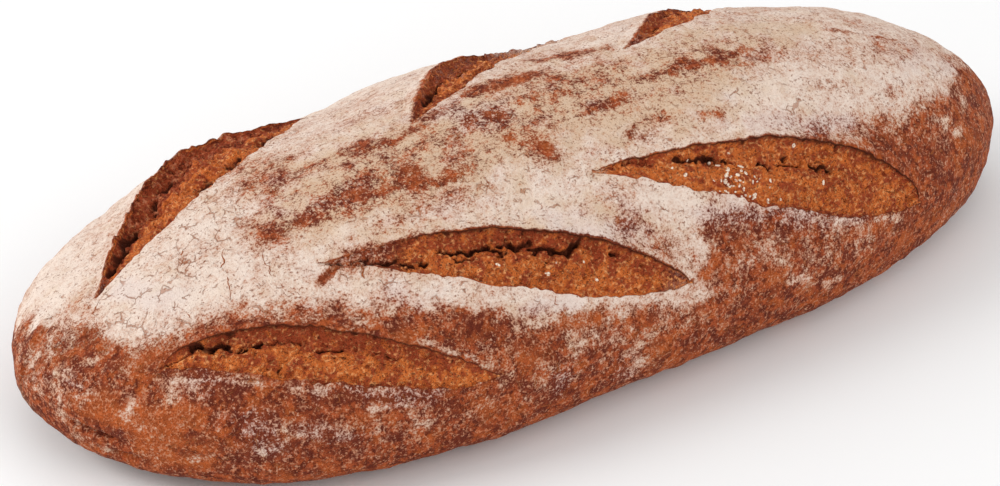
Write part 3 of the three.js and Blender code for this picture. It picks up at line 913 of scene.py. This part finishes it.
def flour_dust(paint, coat, fine):
    """Flour by the thickness of its coat, yellowish or cool in patches, with specks of bran."""
    tint = (paint.grain(9, 2, 0.5) - 0.5) * 2
    specks = paint.grain(1, 2) + (paint.grain(7, 1) - 0.5) * 0.3
    return paint.cover(FLOUR_THIN, [
        ((coat + fine).step(0.3, 1.4), 1, FLOUR_THICK),
        ((paint.attribute("yellowed") + tint).step(0, 1), 0.7, FLOUR_WARM),
        ((0 - paint.attribute("tone") - tint).step(0, 1), 0.45, FLOUR_COOL),
        (specks.step(0.58, 0.74), 0.8, BRAN),
    ])


def torn_crumb(paint, grit, dusting):
    """Orange crumb with red brown patches, pale grains, dark bran and near-black specks of painted shade in
    tiny pits, mottled where it is a baked wall.
    """
    tone = paint.attribute("tone")
    redness = paint.grain(4, 3, 0.6) - tone * 0.22
    wall = (0 - tone).step(0.3, 1)
    crags = paint.grain(3, 4, 0.75)
    return paint.cover(CRUMB, [
        (redness.step(0.42, 0.62), 1, CRUMB_RED),
        (wall * crags.step(0.48, 0.6), 0.85, BROWN_PIT),
        (wall * (1 - crags).step(0.52, 0.66), 0.6, BROWN_GLINT),
        ((grit + tone * 0.05).step(0.5, 0.68), 0.85, CRUMB_LIGHT),
        (dusting.step(0.53, 0.68), 0.85, CRUMB_DARK),
        # Painted shade: sparse near-black specks for tiny pits in the crumb.
        (paint.grain(1.3, 1).step(0.64, 0.72), 0.7, BURNT_AND_SHADE_DARK),
    ])


def make_bread_material():
    """Crust, flour and torn crumb in one finish, shared out by the pieces' attributes."""
    paint = Paint("miche crust and crumb")
    grit = paint.grain(1.2, 2, 0.6)
    dusting = paint.grain(0.6, 1)
    mottle = paint.grain(3.5, 3, 0.6)
    streak = paint.grain(12, 2, 0.5, stretch=(3, 1, 1))
    crazed = paint.attribute("crazed")

    laid = paint.attribute("flour")
    clusters = (paint.grain(9, 2, 0.6) - 0.5) * (1 - laid.step(0.3, 1)) * laid.step(0, 0.25) * 2
    coat = laid + (streak - 0.5) * 0.9 + (mottle - 0.5) * 1.4 + clusters
    fine = grit - 0.5 + (dusting - 0.5) * 0.5
    covered = (coat + fine * 1.6).step(0.08, 0.88)
    lines = paint.crack_lines(6, 0.32) * (paint.grain(5, 1) + crazed * 0.14).step(0.6, 0.7)
    torn = (paint.attribute("crumb") + (grit - 0.5) * 1.2).step(0.35, 0.65)
    # The darkness attribute paints the burnt lip line and painted shade: under the lip, past the near edge,
    # in crevices, pores and hollows.
    baked = (paint.attribute("baked") + (grit - 0.5) * 0.5).step(0.15, 0.9)
    colour = paint.cover(brown_crust(paint, grit, dusting), [
        (covered, 1, flour_dust(paint, coat, fine)),
        (lines, 0.6, CRACK),
        (torn, 1, torn_crumb(paint, grit, dusting)),
        (baked, 0.95, BURNT_AND_SHADE_DARK),
    ])

    rough = grit * 0.9 + dusting * 0.35 + mottle * (crazed * 1.4 + 0.7)
    height = rough * (1.15 - covered * 0.5 + torn * 0.3) + covered * 0.2 - lines * 0.35
    return paint.finish(colour, CRUST_ROUGHNESS, height)


def make_crack_material():
    """The dark inside of a fine crack."""
    paint = Paint("dark crack")
    grit = paint.grain(0.9, 2, 0.6)
    return paint.finish(paint.mix(grit.step(0.35, 0.6), BRAN, CRACK), DRY_ROUGHNESS, grit * 0.3)


def make_flake_material():
    """Pale flour in flakes."""
    paint = Paint("flour flake")
    grit = paint.grain(0.5, 2, 0.6)
    return paint.finish(paint.mix(grit.step(0.4, 0.7), FLAKE, FLOUR_THIN), DRY_ROUGHNESS, grit * 0.2)


# ---- Stage: floor, light and the photo's camera ----
CAMERA_AZIMUTH = math.radians(27.68)
CAMERA_ELEVATION = math.radians(34.07)
CAMERA_DISTANCE = 1300
CAMERA_AIM = (-11.1, -15.7)  # how far right and up of a point over the origin the camera looks, in mm
CAMERA_AIM_HEIGHT = 40
LENS = 127.75
SENSOR = 36
VIEW_END = 20  # m, past which the camera sees nothing
FLOOR_SIZE = 3  # m from the middle to each side
FLOOR_COLOUR = (0.97, 0.97, 0.97, 1)
FLOOR_ROUGHNESS = 0.8
LOAF_MIDDLE = Vector((0, 0, CAMERA_AIM_HEIGHT * METRES))
LIGHTS = (  # name, place and size in m, power in W
    ("key", (-1.5, 0.5, 1.1), 0.9, 15),
    ("fill", (0.7, -1.6, 0.9), 1.5, 10),
    ("rim", (0.3, 1.6, 0.7), 1.2, 4),
)
SKY_STRENGTH = 0.7


def make_camera():
    """The camera that took the photo, as fitted to the loaf's outline in it."""
    turn, tilt = CAMERA_AZIMUTH, CAMERA_ELEVATION
    right = Vector((math.cos(turn), -math.sin(turn), 0))
    back = Vector((-math.sin(turn) * math.cos(tilt), -math.cos(turn) * math.cos(tilt), math.sin(tilt)))
    up = back.cross(right)
    aim = Vector((0, 0, CAMERA_AIM_HEIGHT)) + right * CAMERA_AIM[0] + up * CAMERA_AIM[1]
    camera = bpy.data.objects.new("camera", bpy.data.cameras.new("camera"))
    camera.data.lens = LENS
    camera.data.sensor_width = SENSOR
    camera.data.clip_end = VIEW_END
    turned = Matrix((right, up, back)).transposed().to_4x4()
    camera.matrix_world = Matrix.Translation((aim + back * CAMERA_DISTANCE) * METRES) @ turned
    bpy.context.scene.collection.objects.link(camera)
    bpy.context.scene.camera = camera


def make_floor():
    """A pale floor under the loaf, for the picture only."""
    bm = bmesh.new()
    bmesh.ops.create_grid(bm, x_segments=1, y_segments=1, size=FLOOR_SIZE)
    mesh = bpy.data.meshes.new("floor")
    bm.to_mesh(mesh)
    bm.free()
    floor = bpy.data.objects.new("floor", mesh)
    bpy.context.scene.collection.objects.link(floor)
    material = bpy.data.materials.new("pale floor")
    material.use_nodes = True
    shader = material.node_tree.nodes["Principled BSDF"]
    shader.inputs["Base Color"].default_value = FLOOR_COLOUR
    shader.inputs["Roughness"].default_value = FLOOR_ROUGHNESS
    mesh.materials.append(material)


def make_light(name, place, size, power):
    """A soft square lamp that shines at the middle of the loaf."""
    lamp = bpy.data.lights.new(name, "AREA")
    lamp.size = size
    lamp.energy = power
    light = bpy.data.objects.new(name, lamp)
    light.location = place
    light.rotation_euler = (Vector(place) - LOAF_MIDDLE).to_track_quat("Z", "Y").to_euler()
    bpy.context.scene.collection.objects.link(light)


def make_stage():
    """Floor, camera, lamps and an even white sky."""
    make_floor()
    make_camera()
    for light in LIGHTS:
        make_light(*light)
    world = bpy.data.worlds.new("studio")
    world.use_nodes = True
    sky = world.node_tree.nodes["Background"]
    sky.inputs["Color"].default_value = (1, 1, 1, 1)
    sky.inputs["Strength"].default_value = SKY_STRENGTH
    bpy.context.scene.world = world
    bpy.context.scene.view_settings.view_transform = "Standard"


make_stage()
bread = make_bread_material()
slashes = [make_slash(slash) for slash in SLASHES]
for piece, material, slot in (
    (make_crust(), bread, "crust"),
    *((slash, bread, "crumb") for slash in slashes),
    (make_cracks(), make_crack_material(), "crust"),
    (make_flakes(slashes), make_flake_material(), "crust"),
):
    piece.data.materials.append(material)
    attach(piece, "root")
    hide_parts("loaf")
